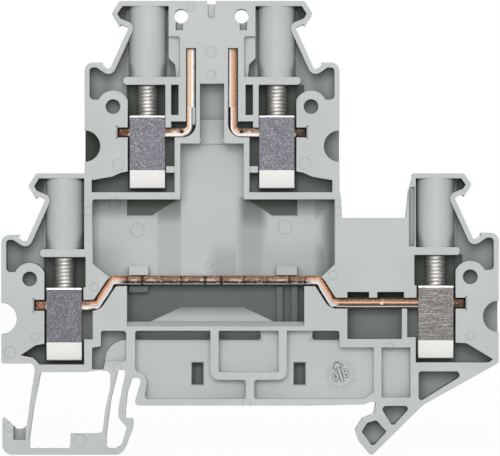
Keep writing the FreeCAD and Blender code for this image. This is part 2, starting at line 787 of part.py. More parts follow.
def clamp_screw(station):
    # Screw whose tip stands on the bar, with a slotted head on the shelf.
    head_bottom = shelf_top + head_play
    tip = rail_play - bar_drop
    shank = upright_rod(screw_radius, station, tip, head_bottom + 0.1)
    head = upright_rod(head_radius, station, head_bottom, head_bottom + head_height)
    slot = prism(rectangle(station.x - head_radius - over, station.x + head_radius + over,
                           station.z + head_bottom + head_height - driver_slot_depth,
                           station.z + head_bottom + head_height + over),
                 "y", -driver_slot_width / 2, driver_slot_width / 2)
    return head.cut(slot).fuse(shank).removeSplitter()


def build_parts():
    parts = {"housing": housing()}
    for station in (upper_left, upper_right):
        parts[station.name + "_bar"] = current_bar(upper_bar_route(station), upper_bar_thickness)
    parts["lower_bar"] = current_bar(lower_bar_route(), lower_bar_thickness)
    for station in stations:
        parts[station.name + "_sleeve"] = clamp_sleeve(station)
        parts[station.name + "_screw"] = clamp_screw(station)
    return parts


os.makedirs("parts", exist_ok=True)
for name, shape in build_parts().items():
    shape.exportStep(os.path.join("parts", name + ".step"))
    box = shape.BoundBox
    print(f"{name}: {len(shape.Solids)} solid, {len(shape.Faces)} faces, valid {shape.isValid()}, "
          f"volume {shape.Volume:.2f}, x {box.XMin:.2f} to {box.XMax:.2f}, "
          f"y {box.YMin:.2f} to {box.YMax:.2f}, z {box.ZMin:.2f} to {box.ZMax:.2f}")
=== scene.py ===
import math
import bpy
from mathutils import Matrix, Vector


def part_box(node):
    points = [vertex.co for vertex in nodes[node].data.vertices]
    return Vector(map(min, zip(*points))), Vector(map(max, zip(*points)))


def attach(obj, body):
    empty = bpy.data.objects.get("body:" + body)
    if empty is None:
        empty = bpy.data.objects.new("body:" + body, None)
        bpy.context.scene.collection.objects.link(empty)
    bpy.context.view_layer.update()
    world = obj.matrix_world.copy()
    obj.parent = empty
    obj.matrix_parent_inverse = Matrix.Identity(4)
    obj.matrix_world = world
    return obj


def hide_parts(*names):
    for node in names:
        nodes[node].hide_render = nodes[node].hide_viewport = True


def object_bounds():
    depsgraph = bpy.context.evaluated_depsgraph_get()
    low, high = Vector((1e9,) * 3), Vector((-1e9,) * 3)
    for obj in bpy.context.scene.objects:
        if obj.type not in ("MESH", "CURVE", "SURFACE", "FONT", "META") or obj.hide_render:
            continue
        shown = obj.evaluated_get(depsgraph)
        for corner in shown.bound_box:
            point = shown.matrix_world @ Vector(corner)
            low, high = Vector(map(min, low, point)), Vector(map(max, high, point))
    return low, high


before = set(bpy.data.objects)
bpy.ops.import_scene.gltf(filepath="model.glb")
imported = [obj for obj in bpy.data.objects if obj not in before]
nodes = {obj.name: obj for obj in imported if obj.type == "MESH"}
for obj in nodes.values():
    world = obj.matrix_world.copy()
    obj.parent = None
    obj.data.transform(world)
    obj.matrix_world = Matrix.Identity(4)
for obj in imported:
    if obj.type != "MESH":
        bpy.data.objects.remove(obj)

cadLow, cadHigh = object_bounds()
mm = 0.001
print("frame loaded,", len(nodes), "nodes")


def tone(code):  # linear colour of a written one
    parts = [int(code[i:i + 2], 16) / 255 for i in (0, 2, 4)]
    return [c / 12.92 if c <= 0.04045 else ((c + 0.055) / 1.055) ** 2.4 for c in parts] + [1]


class Socket:  # a node's output that takes part in sums
    def __init__(self, tree, out=None):
        self.tree = tree
        self.out = out

    def node(self, kind, settings=None, inputs=None, output=0):  # new node, its settings before its sockets
        made = self.tree.nodes.new(kind)
        for key, value in (settings or {}).items():
            if key == "stops":
                ramp = made.color_ramp
                while len(ramp.elements) > 1:
                    ramp.elements.remove(ramp.elements[-1])
                for i, (place, shade) in enumerate(value):
                    stop = ramp.elements[0] if i == 0 else ramp.elements.new(place)
                    stop.position = place
                    stop.color = shade
            else:
                setattr(made, key, value)
        for key, value in (inputs or {}).items():
            if isinstance(value, Socket):
                self.tree.links.new(value.out, made.inputs[key])
            else:
                made.inputs[key].default_value = value
        return Socket(self.tree, made.outputs[output]) if made.outputs else None

    def sum(self, operation, first, second=0.0):
        return self.node("ShaderNodeMath", {"operation": operation}, {0: first, 1: second})

    def __add__(self, other):
        return self.sum("ADD", self, other)

    def __radd__(self, other):
        return self.sum("ADD", other, self)

    def __sub__(self, other):
        return self.sum("SUBTRACT", self, other)

    def __rsub__(self, other):
        return self.sum("SUBTRACT", other, self)

    def __mul__(self, other):
        return self.sum("MULTIPLY", self, other)

    def __rmul__(self, other):
        return self.sum("MULTIPLY", other, self)

    def __truediv__(self, other):
        return self.sum("DIVIDE", self, other)

    def __pow__(self, other):
        return self.sum("POWER", self, other)

    def __abs__(self):
        return self.sum("ABSOLUTE", self)

    def least(self, other):
        return self.sum("MINIMUM", self, other)

    def most(self, other):
        return self.sum("MAXIMUM", self, other)

    def step(self, low, high):  # smooth rise from 0 at low to 1 at high
        return self.node("ShaderNodeMapRange", {"interpolation_type": "SMOOTHSTEP", "clamp": True},
                         {0: self, 1: low, 2: high})

    def band(self, half, soft):  # 1 where it is within half of 0, in mm, and fading over the soft width
        return 1 - abs(self).step(half * mm, (half + soft) * mm)

    def span(self, low, high, soft):  # 1 between low and high, fading over soft to both sides of each, in mm
        start = self.step((low - soft) * mm, (low + soft) * mm)
        return start * (1 - self.step((high - soft) * mm, (high + soft) * mm))

    def rise(self, low, high, start, end):  # straight from start to end between low and high, all in mm
        return self.node("ShaderNodeMapRange", {"clamp": True},
                         {0: self, 1: low * mm, 2: high * mm, 3: start * mm, 4: end * mm})

    def ramp(self, stops):  # colour of this value among the stops
        return self.node("ShaderNodeValToRGB", {"stops": stops}, {0: self})

    def mix(self, first, second):  # colours, by this mask
        return self.node("ShaderNodeMix", {"data_type": "RGBA"}, {0: self, 6: first, 7: second}, 2)

    def noise(self, size, detail=2.0, rough=0.5, stretch=(1, 1, 1)):  # size of a spot in metres
        at = self
        if stretch != (1, 1, 1):
            at = self.node("ShaderNodeMapping", {}, {"Vector": self, "Scale": stretch})
        return self.node("ShaderNodeTexNoise", {}, {"Vector": at, "Scale": 1 / size,
                                                    "Detail": detail, "Roughness": rough})


def startMaterial(name):
    made = bpy.data.materials.new(name)
    made.use_nodes = True
    made.node_tree.nodes.clear()
    here = Socket(made.node_tree)
    place = here.node("ShaderNodeTexCoord", output="Object")
    return made, here, place


def splitPlace(here, place):
    return [here.node("ShaderNodeSeparateXYZ", {}, {0: place}, i) for i in range(3)]


def flatNormalOf(here):
    return here.node("ShaderNodeNewGeometry", output="True Normal")


def lengthOf(here, across, up):  # length of a flat vector
    flat = here.node("ShaderNodeCombineXYZ", {}, {0: across, 1: up})
    return here.node("ShaderNodeVectorMath", {"operation": "LENGTH"}, {0: flat}, "Value")


def distanceOf(here, place, point):
    return here.node("ShaderNodeVectorMath", {"operation": "DISTANCE"}, {0: place, 1: point}, "Value")


def bumpOf(here, height, **linked):
    return here.node("ShaderNodeBump", {}, {"Strength": 1.0, "Distance": 1.0, "Height": height, **linked})


def strongest(masks):
    top = None
    for mask in masks:
        top = mask if top is None else top.most(mask)
    return top


def endMaterial(here, fixed, **linked):
    shader = here.node("ShaderNodeBsdfPrincipled", {}, {**fixed, **linked})
    here.node("ShaderNodeOutputMaterial", {}, {"Surface": shader})


def coat(piece, material):
    piece.data.materials.clear()
    piece.data.materials.append(material)


def paint(material, *names):
    for name in names:
        coat(nodes[name], material)


def freshStart():
    if bpy.context.mode != "OBJECT":
        bpy.ops.object.mode_set(mode="OBJECT")
    bpy.ops.object.select_all(action="DESELECT")


def settle(piece, name):
    freshStart()
    piece.select_set(True)
    bpy.context.view_layer.objects.active = piece
    bpy.ops.object.transform_apply(location=True, rotation=True, scale=True)
    piece.name = name
    piece.data.name = name


# moulded housing
plastic = {
    "body": "c0c5c3", "pale": "c5c9c8", "warm": "c3c5c0", "edgeHighlight": "d0d4d3", "mark": "9fa6a2",
    "shade": "202f1f", "digit": "e2e6e5",
    "cloud": 9 * mm, "speck": 0.35 * mm, "flow": 3 * mm, "grain": 0.12 * mm,
    "grainHeight": 0.004 * mm, "flowHeight": 0.012 * mm, "ringHeight": 0.035 * mm, "dishDepth": 0.012 * mm,
    "edgeRadius": 0.13 * mm, "roughness": 0.46, "reflection": 0.2,
    "reach": 9.0 * mm,  # how far off the walls count for a point's openness
    "openness": [(0.0, 0.12), (0.08, 0.46), (0.25, 0.62), (0.42, 0.9), (0.55, 1.0)],
    "bowlRadius": 3.41 * mm, "rampTop": 14.1 * mm, "rampFoot": 12.0 * mm, "rampFade": 0.6,
}
ejectorMarks = [  # x, z and radius in mm, on faces that look out of the open side
    (-5.55, 49.65, 0.77), (-5.55, 46.4, 0.7), (-18.6, 33.8, 0.8), (7.65, 34.05, 0.8),
    (-19.15, 28.45, 0.8), (-15.95, 24.65, 0.98), (4.85, 25.05, 0.98), (-22.8, 27.3, 0.6),
    (12.3, 27.3, 0.6), (-5.85, 19.75, 0.56), (-21.95, 16.65, 0.56), (11.6, 18.3, 0.6),
    (-30.25, 9.65, 0.6), (-33.75, 7.5, 0.84), (30.95, 9.9, 0.6), (19.6, 8.25, 0.6),
    (-23.95, -4.85, 0.84), (-33.9, -3.0, 0.7), (-0.5, 0.35, 0.6), (-18.75, 5.3, 0.6),
    (-8.4, 55.95, 0.56),
]


def rectangle(left, right, bottom, top):  # outline that runs anticlockwise
    return [(left, bottom), (right, bottom), (right, top), (left, top)]


shadedPlaces = [  # outline in x and z, soft edge, all in mm, and how dark, behind the open side
    ([(-17.46, 26.65), (-13.83, 26.65), (-10.0, 29.1), (-17.46, 29.1)], 0.15, 0.85),
    ([(3.03, 26.65), (6.66, 26.65), (6.66, 29.1), (-0.8, 29.1)], 0.15, 0.85),
    (rectangle(13.3, 23.2, 15.0, 17.1), 0.12, 0.97),
    (rectangle(13.3, 21.2, 9.0, 14.6), 0.12, 0.6),
    (rectangle(12.6, 21.6, 11.4, 15.6), 1.4, 0.68),
    (rectangle(20.2, 21.6, 9.8, 15.0), 0.8, 0.6),
    (rectangle(-16.5, -5.4, 9.0, 9.75), 0.35, 0.34),
    (rectangle(-4.7, 1.6, 9.0, 9.75), 0.35, 0.34),
    (rectangle(8.3, 12.9, 9.0, 9.75), 0.35, 0.34),
    (rectangle(-21.0, -19.3, 43.0, 46.6), 0.9, 0.34),
    (rectangle(8.5, 10.2, 43.0, 46.6), 0.9, 0.3),
    (rectangle(-33.2, -31.0, 18.6, 23.2), 1.2, 0.46),
    (rectangle(30.2, 32.0, 18.8, 23.2), 1.0, 0.34),
    (rectangle(6.2, 8.2, 53.8, 56.2), 0.45, 0.66),
    (rectangle(-18.9, -17.2, 53.6, 56.0), 0.45, 0.34),
    (rectangle(28.9, 30.8, 29.9, 31.8), 0.45, 0.62),
    (rectangle(-31.0, -28.9, 29.9, 31.8), 0.45, 0.46),
    (rectangle(-12.0, -7.5, 38.0, 40.0), 0.12, 0.6),
    (rectangle(-3.3, 1.2, 38.0, 40.0), 0.12, 0.6),
    (rectangle(-8.35, -6.55, 2.8, 6.1), 0.1, 0.69),
    (rectangle(6.0, 7.8, 2.8, 6.1), 0.1, 0.69),
    (rectangle(-11.3, -9.7, 40.6, 45.3), 0.12, 0.55),
    (rectangle(-1.1, 0.5, 40.6, 45.3), 0.12, 0.55),
    (rectangle(-12.1, -10.5, 33.0, 38.2), 0.12, 0.45),
    (rectangle(-0.3, 1.3, 33.0, 38.2), 0.12, 0.45),
]
rampShade = (rectangle(-17.35, 7.6, 11.6, 17.2), 0.12, 0.79)  # round the ramp below the raised bar
litPlaces = [  # outline, soft edge and how much of the pocket's shade is taken away
    (rectangle(16.0, 19.2, -5.2, -2.0), 0.3, 0.4),
    (rectangle(18.6, 22.2, -2.6, 0.4), 0.3, 0.38),
    (rectangle(-16.5, -5.4, 10.0, 10.8), 0.25, 0.3),
    (rectangle(-4.7, 1.6, 10.0, 10.8), 0.25, 0.3),
    (rectangle(8.3, 12.9, 10.0, 10.8), 0.25, 0.3),
    (rectangle(-15.6, 11.9, 0.4, 8.4), 0.3, 0.4),
    (rectangle(8.3, 20.4, 0.4, 8.4), 0.3, 0.4),
]
clamps = [  # x and z in mm, side of the wire entry and how dark the painted shade in the wedge beside the sleeve is
    (-14.5, 40.8, -1, 0.62), (3.7, 40.8, 1, 0.56), (-26.2, 16.6, -1, 0.56), (26.05, 16.9, 1, 0.38),
]
for clampX, clampZ, side, wedge in clamps:
    near, far = sorted((clampX - side * 2.7, clampX + side * 8.3))
    shadedPlaces.append((rectangle(clampX - 3.0, clampX + 3.9, clampZ - 0.2, clampZ + 4.3), 0.1, 0.8))
    shadedPlaces.append((rectangle(near, far, clampZ - 10.9, clampZ - 7.8), 0.15, wedge))
    litPlaces.append((rectangle(clampX - 3.0, clampX + 3.0, clampZ + 5.6, clampZ + 14.9), 0.15, 0.85))
    for hand in (-1, 1):  # painted shade in the corners at the tube's foot
        foot = [(clampX + hand * 2.75, clampZ + 5.2), (clampX + hand * 2.75, clampZ + 7.6),
                (clampX + hand * 0.7, clampZ + 5.2)]
        shadedPlaces.append((foot[::hand], 0.5, 0.5))
wireBowls = [(-23.3, 36.42, 0.985), (12.5, 36.42, 0.55), (34.85, 12.52, 0.45)]  # x, z in mm, how dark the painted shade inside each wire funnel is
cavityShadows = [  # left, right, bottom and top in mm, how dark, and where it fades in
    (-22.2, -13.1, 24.0, 29.3, 0.46, [("z", 25.8, 27.6)]),
    (-13.1, -9.8, 23.0, 29.3, 0.56, [("z", 24.4, 27.4)]),
    (-13.1, -9.8, 18.0, 29.3, 0.14, []),
    (-3.0, 3.0, 18.0, 29.3, 0.28, [("x", -2.6, -0.9), ("x", 2.7, 1.1)]),
    (-3.0, 3.0, 22.0, 29.3, 0.66, [("x", -2.2, -0.7), ("x", 2.9, 1.3), ("z", 22.4, 27.4)]),
    (6.0, 9.4, 25.0, 29.3, 0.46, [("z", 26.0, 27.8)]),
    (8.0, 11.8, 18.0, 29.3, 0.66, [("x", 9.2, 11.3)]),
    (9.0, 11.8, 25.0, 29.3, 0.58, [("z", 25.4, 27.8)]),
    (7.0, 11.8, 18.0, 25.0, 0.52, [("x", 8.0, 10.4), ("z", 25.0, 21.0)]),
    (-2.0, 9.4, 18.0, 25.0, 0.16, [("z", 25.0, 20.4)]),
    (-6.8, -2.0, 18.0, 24.0, 0.27, [("x", -6.6, -4.6), ("z", 24.0, 20.2)]),
    (-22.2, -16.0, 18.0, 25.0, 0.27, [("x", -16.0, -21.0), ("z", 24.6, 20.6)]),
]
clock = {
    "x": 12.68 * mm, "z": 4.21 * mm, "floor": -0.6 * mm, "turn": math.radians(19), "rise": 0.16 * mm,
    "sink": 0.01 * mm, "digit": 1.65 * mm, "digitAway": 0.74 * mm, "digitWeight": 0.02 * mm,
    "arrowTip": 1.75 * mm, "arrowFoot": -0.9 * mm, "arrowWidth": 0.24 * mm,
    "barb": 0.8 * mm, "barbLean": math.radians(40),
    "rays": 36, "rayInside": 1.5 * mm, "rayOutside": 2.3 * mm, "rayShorter": 0.25 * mm,
    "rayWidth": 0.11 * mm, "rayRise": 0.05 * mm, "halo": 0.6, "digitHighlight": 0.7,
}


def insideOf(points, soft, x, z):  # mask of a convex outline that runs anticlockwise
    sides = []
    for (firstX, firstZ), (nextX, nextZ) in zip(points, points[1:] + points[:1]):
        length = math.hypot(nextX - firstX, nextZ - firstZ)
        outX, outZ = (nextZ - firstZ) / length, (firstX - nextX) / length
        sides.append((x - firstX * mm) * outX + (z - firstZ * mm) * outZ)
    return 1 - strongest(sides).step(-soft * mm, soft * mm)


def cavityShade(x, z):  # the soft shadows that the walls throw on the middle cavity's floor
    parts = []
    for left, right, bottom, top, dark, fades in cavityShadows:
        aside = abs(x - (left + right) / 2 * mm) - (right - left) / 2 * mm
        above = abs(z - (bottom + top) / 2 * mm) - (top - bottom) / 2 * mm
        part = (1 - aside.most(above).step(-0.2 * mm, 0.2 * mm)) * dark
        for axis, start, full in fades:
            fade = (x if axis == "x" else z).step(min(start, full) * mm, max(start, full) * mm)
            part = part * (fade if start < full else 1 - fade)
        parts.append(part)
    return strongest(parts)


def clockHalo(here, x, y, z):  # shade on the floor round the digits and the arrow
    acrossX, acrossZ = x - clock["x"], z - clock["z"]
    turn, lean = clock["turn"], clock["barbLean"]
    u = acrossX * math.cos(turn) + acrossZ * math.sin(turn)
    v = acrossZ * math.cos(turn) - acrossX * math.sin(turn)
    shaft = u.band(0.2, 0.22) * (v - 0.3 * mm).band(1.1, 0.35)
    ring = lengthOf(here, (abs(u) - clock["digitAway"]) * 1.5, v - 0.05 * mm).band(0.62, 0.22)
    below = clock["arrowTip"] - v
    along = below * math.cos(lean) + abs(u) * math.sin(lean)
    aside = abs(u) * math.cos(lean) - below * math.sin(lean)
    barbs = aside.band(0.2, 0.2) * (along - 0.4 * mm).band(0.45, 0.2)
    return strongest([shaft, ring, barbs]) * (y - clock["floor"]).band(0.04, 0.04)


def makePlastic():
    made, here, place = startMaterial("light_grey_polyamide")
    x, y, z = splitPlace(here, place)
    cloud = place.noise(plastic["cloud"], 3)
    speck = place.noise(plastic["speck"], 3, 0.6)
    flow = place.noise(plastic["flow"], 2, 0.5, (1, 1, 0.35))
    grain = place.noise(plastic["grain"], 2, 0.6)

    # rounded edges and the faces' directions
    softNormal = here.node("ShaderNodeBevel", {"samples": 6}, {"Radius": plastic["edgeRadius"]})
    flatNormal = flatNormalOf(here)
    bend = here.node("ShaderNodeVectorMath", {"operation": "DOT_PRODUCT"},
                     {0: softNormal, 1: flatNormal}, "Value")
    edgeHighlight = (1 - bend).step(0.01, 0.2)
    backward, upward = splitPlace(here, flatNormal)[1:]
    forward = backward * -1
    outward = forward.step(0.9, 0.98)
    onTop = upward.step(0.1, 0.2)

    # ejector marks, a thin ring round a shallow dish
    flat = here.node("ShaderNodeCombineXYZ", {}, {0: x, 2: z})
    gap = None
    for markX, markZ, radius in ejectorMarks:
        edge = distanceOf(here, flat, (markX * mm, 0, markZ * mm)) - radius * mm
        gap = edge if gap is None else gap.least(edge)
    ring = gap.band(0.02, 0.09)
    dish = 1 - gap.step(-0.1 * mm, 0.0)
    height = (grain * plastic["grainHeight"] + flow * plastic["flowHeight"]
              + outward * (ring * plastic["ringHeight"] - dish * plastic["dishDepth"]))

    colour = cloud.step(0.35, 0.65).mix(tone(plastic["body"]), tone(plastic["pale"]))
    colour = (speck.step(0.52, 0.75) * 0.35).mix(colour, tone(plastic["warm"]))
    colour = (outward * ring * 0.25).mix(colour, tone(plastic["mark"]))
    # painted highlight along the rounded edges
    colour = (edgeHighlight * 0.55).mix(colour, tone(plastic["edgeHighlight"]))

    # shade of the pockets, which is on no face that looks back
    behind = y.step(-2.3 * mm, -1.2 * mm) * (1 - backward.step(0.1, 0.3)) * (1 - y.step(2.2 * mm, 2.4 * mm))
    points, soft, dark = rampShade
    shades = [insideOf(points, soft, x, z) * dark * (1 - onTop), cavityShade(x, z),
              insideOf(points, 0.1, x, z) * z.step(plastic["rampFoot"], plastic["rampTop"]) * onTop
              * plastic["rampFade"]]
    shades += [insideOf(points, soft, x, z) * dark for points, soft, dark in shadedPlaces]
    shades = [strongest(shades) * behind, clockHalo(here, x, y, z) * clock["halo"]]
    for mouthX, mouthZ, dark in wireBowls:
        away = distanceOf(here, place, (mouthX * mm, 0, mouthZ * mm)) - plastic["bowlRadius"]
        bowl = (1 - away.step(0.0, 0.05 * mm)) * y.step(-2.58 * mm, -2.5 * mm)
        shades.append(bowl * dark * forward.step(0.0, 0.1))
    shade = strongest(shades)
    light = here.node("ShaderNodeAmbientOcclusion", {"samples": 12}, {"Distance": plastic["reach"]}, "AO")
    light = light.ramp([(at, (share, share, share, 1)) for at, share in plastic["openness"]])
    lit = strongest([insideOf(points, soft, x, z) * share for points, soft, share in litPlaces])
    light = light + (1 - light) * lit

    # painted highlight on the tops of the raised digits and arrow, paler than the floor
    digits = y.step(-0.8 * mm, -0.7 * mm) * (1 - y.step(-0.68 * mm, -0.66 * mm)) * outward
    near = (x - clock["x"]).band(1.5, 0.2) * (z - clock["z"]).band(2.0, 0.2)
    colour = (digits * near * clock["digitHighlight"]).mix(colour, tone(plastic["digit"]))
    colour = (light * (1 - shade)).mix(tone(plastic["shade"]), colour)
    endMaterial(here, {"IOR": 1.5, "Specular IOR Level": plastic["reflection"]}, **{
        "Base Color": colour, "Roughness": plastic["roughness"] + speck * 0.1 - edgeHighlight * 0.06,
        "Normal": bumpOf(here, height, Normal=softNormal)})
    return made


plasticLook = makePlastic()
paint(plasticLook, "housing")
print("housing painted")


# date clock on the floor of a base pocket
def carved(name, text, away):  # one digit, as a mesh on the clock's plane
    freshStart()
    bpy.ops.object.text_add(location=(0, 0, 0))
    digit = bpy.context.object
    digit.data.body = text
    digit.data.size = clock["digit"]
    digit.data.align_x = "CENTER"
    digit.data.align_y = "CENTER"
    digit.data.extrude = clock["rise"] / 2
    digit.data.offset = clock["digitWeight"]
    digit.data.resolution_u = 4
    bpy.ops.object.convert(target="MESH")
    digit = bpy.context.object
    digit.location = (away, 0, 0)
    settle(digit, name)
    return digit


def raisedBar(name, middle, size, turn=0.0, foot=(0, 0, 0)):  # straight block, turned and then moved
    freshStart()
    bpy.ops.mesh.primitive_cube_add(size=1, location=middle)
    bar = bpy.context.object
    bar.scale = size
    settle(bar, name)
    bar.rotation_euler = (0, 0, turn)
    bar.location = foot
    settle(bar, name)
    return bar


def makeClock(look):
    rise, width, tip = clock["rise"], clock["arrowWidth"], clock["arrowTip"]
    pieces = [carved("digit_left", "0", -clock["digitAway"]), carved("digit_right", "8", clock["digitAway"]),
              raisedBar("arrow_shaft", (0, (tip + clock["arrowFoot"]) / 2, 0),
                        (width, tip - clock["arrowFoot"], rise))]
    for side in (-1, 1):
        pieces.append(raisedBar("arrow_barb", (0, -clock["barb"] / 2, 0), (width, clock["barb"], rise),
                                side * clock["barbLean"], (0, tip, 0)))
    for i in range(clock["rays"]):
        inside = clock["rayInside"]
        outside = clock["rayOutside"] - (clock["rayShorter"] if i % 3 == 1 else 0)
        pieces.append(raisedBar("ray", ((inside + outside) / 2, 0, clock["rayRise"] / 2 - rise / 2),
                                (outside - inside, clock["rayWidth"], clock["rayRise"]),
                                2 * math.pi * i / clock["rays"]))
    freshStart()
    for piece in pieces:
        piece.select_set(True)
    bpy.context.view_layer.objects.active = pieces[0]
    bpy.ops.object.join()
    dial = bpy.context.object
    dial.rotation_euler = (0, 0, clock["turn"])
    settle(dial, "date_clock")
    dial.rotation_euler = (math.pi / 2, 0, 0)
    dial.location = (clock["x"], clock["floor"] - rise / 2 + clock["sink"], clock["z"])
    settle(dial, "date_clock")
    coat(dial, look)
    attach(dial, "block")


makeClock(plasticLook)
print("date clock placed")


# tinned copper bars
copper = {
    # colours across each cut edge from copper to tin, with painted highlight in the palest bands and painted
    # shade of the gaps beside the bar at the dark ends
    "leftLeg": [(0.0, "7a6350"), (0.05, "b9957a"), (0.12, "dcb497"), (0.22, "f4d3b7"), (0.35, "e9c5a9"),
                (0.47, "e3cab2"), (0.56, "faf0e2"), (0.7, "f0ede8"), (0.82, "bdbdbc"), (0.92, "606263"),
                (1.0, "4c4e4f")],
    "rightLeg": [(0.0, "46362a"), (0.1, "776459"), (0.22, "9b7960"), (0.34, "bd9271"), (0.45, "cf9e7a"),
                 (0.57, "d9ac8a"), (0.69, "dfc0ab"), (0.79, "f5e4dc"), (0.9, "f2efec"), (0.96, "b4b4b6"),
                 (1.0, "5a5b5e")],
    "foot": [(0.0, "3a2a20"), (0.1, "8f7362"), (0.22, "ab8c76"), (0.38, "92745f"), (0.5, "b89c8a"),
             (0.6, "dcc6b8"), (0.7, "f4ebe3"), (0.86, "f5f2ed"), (0.94, "b3b0ab"), (1.0, "3a3a38")],
    "slope": [(0.0, "3a2412"), (0.1, "80522f"), (0.19, "d39c76"), (0.32, "cd9168"), (0.42, "f2cfb8"),
              (0.5, "cfbeb4"), (0.62, "cac7c6"), (0.76, "ebe9e9"), (0.84, "8c8a8c"), (0.9, "1c1a1a"),
              (1.0, "141212")],
    "raised": [(0.0, "35251c"), (0.1, "7c5b49"), (0.2, "8e6a54"), (0.3, "85604b"), (0.38, "9f7c66"),
               (0.46, "8c7060"), (0.53, "4a3f40"), (0.62, "252328"), (0.72, "242228"), (0.79, "7d7b7f"),
               (0.84, "96949a"), (0.9, "4c4a4a"), (0.95, "1c1b1a"), (1.0, "121110")],
    "run": [(0.0, "1e120a"), (0.12, "5f4534"), (0.21, "ab7a5c"), (0.28, "915b3a"), (0.37, "cf9e80"),
            (0.47, "ecc4ac"), (0.54, "a07a68"), (0.61, "54433a"), (0.72, "4c3f3a"), (0.79, "756a66"),
            (0.85, "d6cfcc"), (0.91, "7a7674"), (0.97, "1f1d1c"), (1.0, "1a1817")],
    "brown": "5d3c2c", "cream": "f3dfd2", "spark": "fbe3cf", "fleck": "f2ede8", "side": "cfccc8",
    # gap is the painted shade of the opening beside an upper bar's bend
    "line": "1c1310", "stubDark": "3a1f17", "gap": "101011", "wall": "ccd2d4",
    "upperLeftStub": "8f5b43", "upperRightStub": "56432f",
    "lowerLeftStub": "b07c5e", "lowerRightStub": "6e553c",
    "smear": 0.55 * mm, "streak": 0.17 * mm, "patch": 1.3 * mm, "ragged": 0.4 * mm,
    "smearHeight": 0.03 * mm, "streakHeight": 0.015 * mm, "markDepth": 0.05 * mm,
    "legWidth": 1.2 * mm, "bendRadius": 1.43 * mm, "bendZ": 39.2 * mm, "gapTop": 41.9 * mm,
    "stubAway": 8.75 * mm,  # from a leg's middle to where the bar's end comes out of its sleeve
    "roughness": 0.42, "metal": 0.18, "reflection": 0.1,
}
lowerBar = {  # places along the lower bar's cut edge, in mm
    "climb": (-21.6, -19.3), "middleZ": (14.075, 17.525), "drop": (9.55, 11.5), "dropBy": 3.15,
    "slopes": [(-21.6, -19.3), (9.5, 11.5)],
    "raised": (-18.25, 8.25), "run": (11.8, 12.6), "foot": (-23.2, -22.0), "stubs": (28.8, 28.65),
    "nick": (18.46, 14.36), "thickness": 1.35,
    "marks": [  # x, half width and depth of the dark marks across the raised run
        (-17.35, 0.22, 0.9), (-15.2, 0.28, 1.0), (-12.4, 0.14, 0.5), (-9.75, 0.2, 0.9), (-6.35, 0.32, 1.0),
        (-4.1, 0.28, 1.0), (-0.85, 0.2, 0.8), (2.3, 0.16, 0.5), (5.5, 0.32, 0.9), (7.65, 0.16, 0.6),
    ],
}


def cutRamp(at, name):
    return at.ramp([(place, tone(code)) for place, code in copper[name]])


def upperCut(here, x, z, legX, side, ramp, gapWidth):  # where things are on an upper bar's cut edge
    legWidth, radius = copper["legWidth"], copper["bendRadius"]
    outside = (x - legX * mm) * side
    u = outside + radius + (gapWidth * mm - legWidth / 2)
    v = copper["bendZ"] - z
    aside, down = u.most(0.0), v.most(0.0)
    reach = (aside * aside + down * down) ** 0.5
    width = down / reach.most(0.01 * mm) * (gapWidth * mm) + (legWidth - gapWidth * mm)
    low = 1 - (z - copper["gapTop"]).step(-0.05 * mm, 0.05 * mm)
    bent = 1 - (radius - reach) / width
    straight = outside / legWidth + 0.5
    stubColour = copper["upperLeftStub"] if side > 0 else copper["upperRightStub"]
    return {"at": straight + (bent - straight) * low, "base": ramp,
            "parts": [((1 - u.step(-0.1 * mm, 0.35 * mm)) * low, "foot")],
            "mottle": low * v.step(-0.3 * mm, 0.3 * mm),
            "dark": lengthOf(here, u + 0.08 * mm, v - 0.72 * mm).band(0.16, 0.22),
            # painted shade of the gap past the bend's outer radius
            "gap": low * (reach - radius).step(-0.02 * mm, 0.04 * mm),
            "wall": 1 - v.step(-0.5 * mm, -0.1 * mm) if side > 0 else z * 0,
            "stubColour": tone(stubColour),
            "stub": (outside * -1 - copper["stubAway"]).step(-0.15 * mm, 0.15 * mm)}


def lowerCut(here, x, z):  # the same on the lower bar
    climbed = x.rise(*lowerBar["climb"], *lowerBar["middleZ"])
    dropped = x.rise(*lowerBar["drop"], 0.0, lowerBar["dropBy"])
    slope = strongest([x.span(low, high, 0.3) for low, high in lowerBar["slopes"]])
    across = (climbed - dropped - z) * (1 - slope * 0.45)
    raised = x.span(*lowerBar["raised"], 0.65)
    runStart, runFull = lowerBar["run"]
    footFull, footEnd = lowerBar["foot"]
    foot = 1 - x.step(footFull * mm, footEnd * mm)
    ragged = here.node("ShaderNodeTexCoord", output="Object").noise(copper["ragged"], 2, 0.6)
    wobble, faded = (ragged - 0.5) * (0.3 * mm), ragged.step(0.3, 0.5)
    marks = [(x - mark * mm + wobble).band(wide * 0.3, wide * 0.7) * deep
             for mark, wide, deep in lowerBar["marks"]]
    leftStub, rightStub = lowerBar["stubs"]
    stub = (x * -1 - leftStub * mm).step(-0.15 * mm, 0.15 * mm)
    stub = stub.most((x - rightStub * mm).step(-0.15 * mm, 0.15 * mm))
    onRight = x.step(0.0, 0.01 * mm)
    stubColour = onRight.mix(tone(copper["lowerLeftStub"]), tone(copper["lowerRightStub"]))
    nickX, nickZ = lowerBar["nick"]
    return {"at": across / (lowerBar["thickness"] * mm) + 0.5, "base": "slope",
            "parts": [(raised, "raised"), (x.step(runStart * mm, runFull * mm), "run"), (foot, "foot")],
            "mottle": raised * 0.6 + foot, "dark": strongest(marks) * faded,
            "gap": x * 0, "wall": x * 0, "stub": stub, "stubColour": stubColour,
            "spark": lengthOf(here, x - nickX * mm, z - nickZ * mm).band(0.12, 0.18)}


